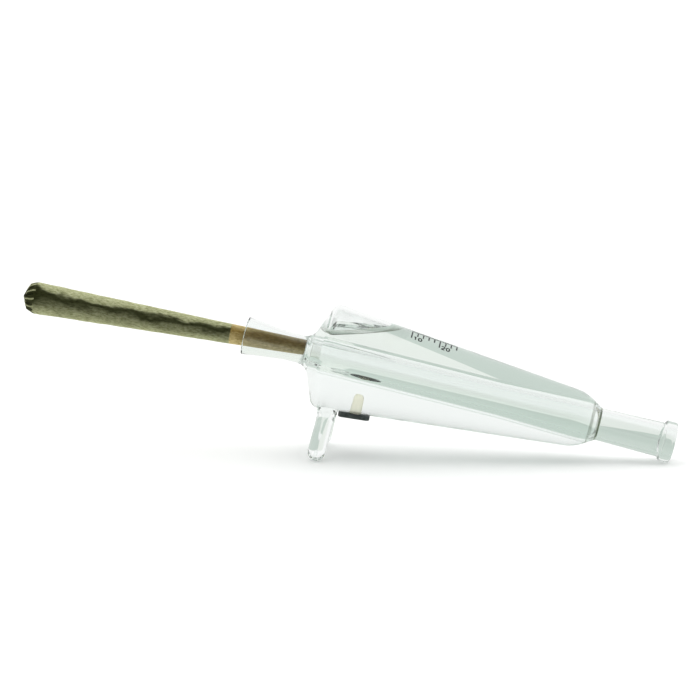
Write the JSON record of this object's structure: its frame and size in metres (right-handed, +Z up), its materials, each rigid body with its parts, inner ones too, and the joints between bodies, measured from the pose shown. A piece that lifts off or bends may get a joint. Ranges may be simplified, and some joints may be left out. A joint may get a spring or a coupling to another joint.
{
  "type": "glass cooling pipe with rolled cone",
  "caption": "Hand-held glass pipe with a water-filled conical jacket, a flared socket holding a rolled paper cone, a beaded mouthpiece, two rod feet and a stoppered fill hole.",
  "frame": {"origin": "centre of the bounding box in plan, at the height of the table that the feet and the lip rest on", "axes": "+Z up; +X along the table from the rolled cone towards the mouthpiece; +Y towards the right foot"},
  "size_m": [0.2269, 0.0366, 0.0574],
  "materials": {
    "clear_glass": "polished",
    "weld_glass": "polished",
    "clear_water": "gloss",
    "cream_rubber": "matte",
    "grey_rubber": "matte",
    "brown_card": "matte",
    "thin_paper": "matte",
    "ground_herb": "matte"
  },
  "bodies": {
    "glass": {"cone_socket": "clear_glass", "front_ring_seal": "weld_glass", "jacket_shell": "clear_glass", "smoke_tube": "clear_glass", "tail_ring_seal": "weld_glass", "mouth_tube": "clear_glass", "mouth_lip": "weld_glass", "left_foot": "clear_glass", "right_foot": "clear_glass", "left_foot_weld": "weld_glass", "right_foot_weld": "weld_glass", "jacket_water": "clear_water"},
    "stopper": {"stopper_plug": "cream_rubber", "stopper_disc": "grey_rubber"},
    "rolled_cone": {"card_tip": "brown_card", "card_fold": "brown_card", "paper_wrap": "thin_paper", "gum_seam": "thin_paper", "herb_fill": "ground_herb", "folded_end": "thin_paper"}
  },
  "joints": [
    {"name": "stopper_pull", "type": "slide", "parent": "glass", "child": "stopper", "axis": [-0.2225, 0, -0.9749], "range_m": [0, 0.012]},
    {"name": "cone_pull", "type": "slide", "parent": "glass", "child": "rolled_cone", "axis": [-0.9873, 0, 0.1592], "range_m": [0, 0.03]}
  ]
}
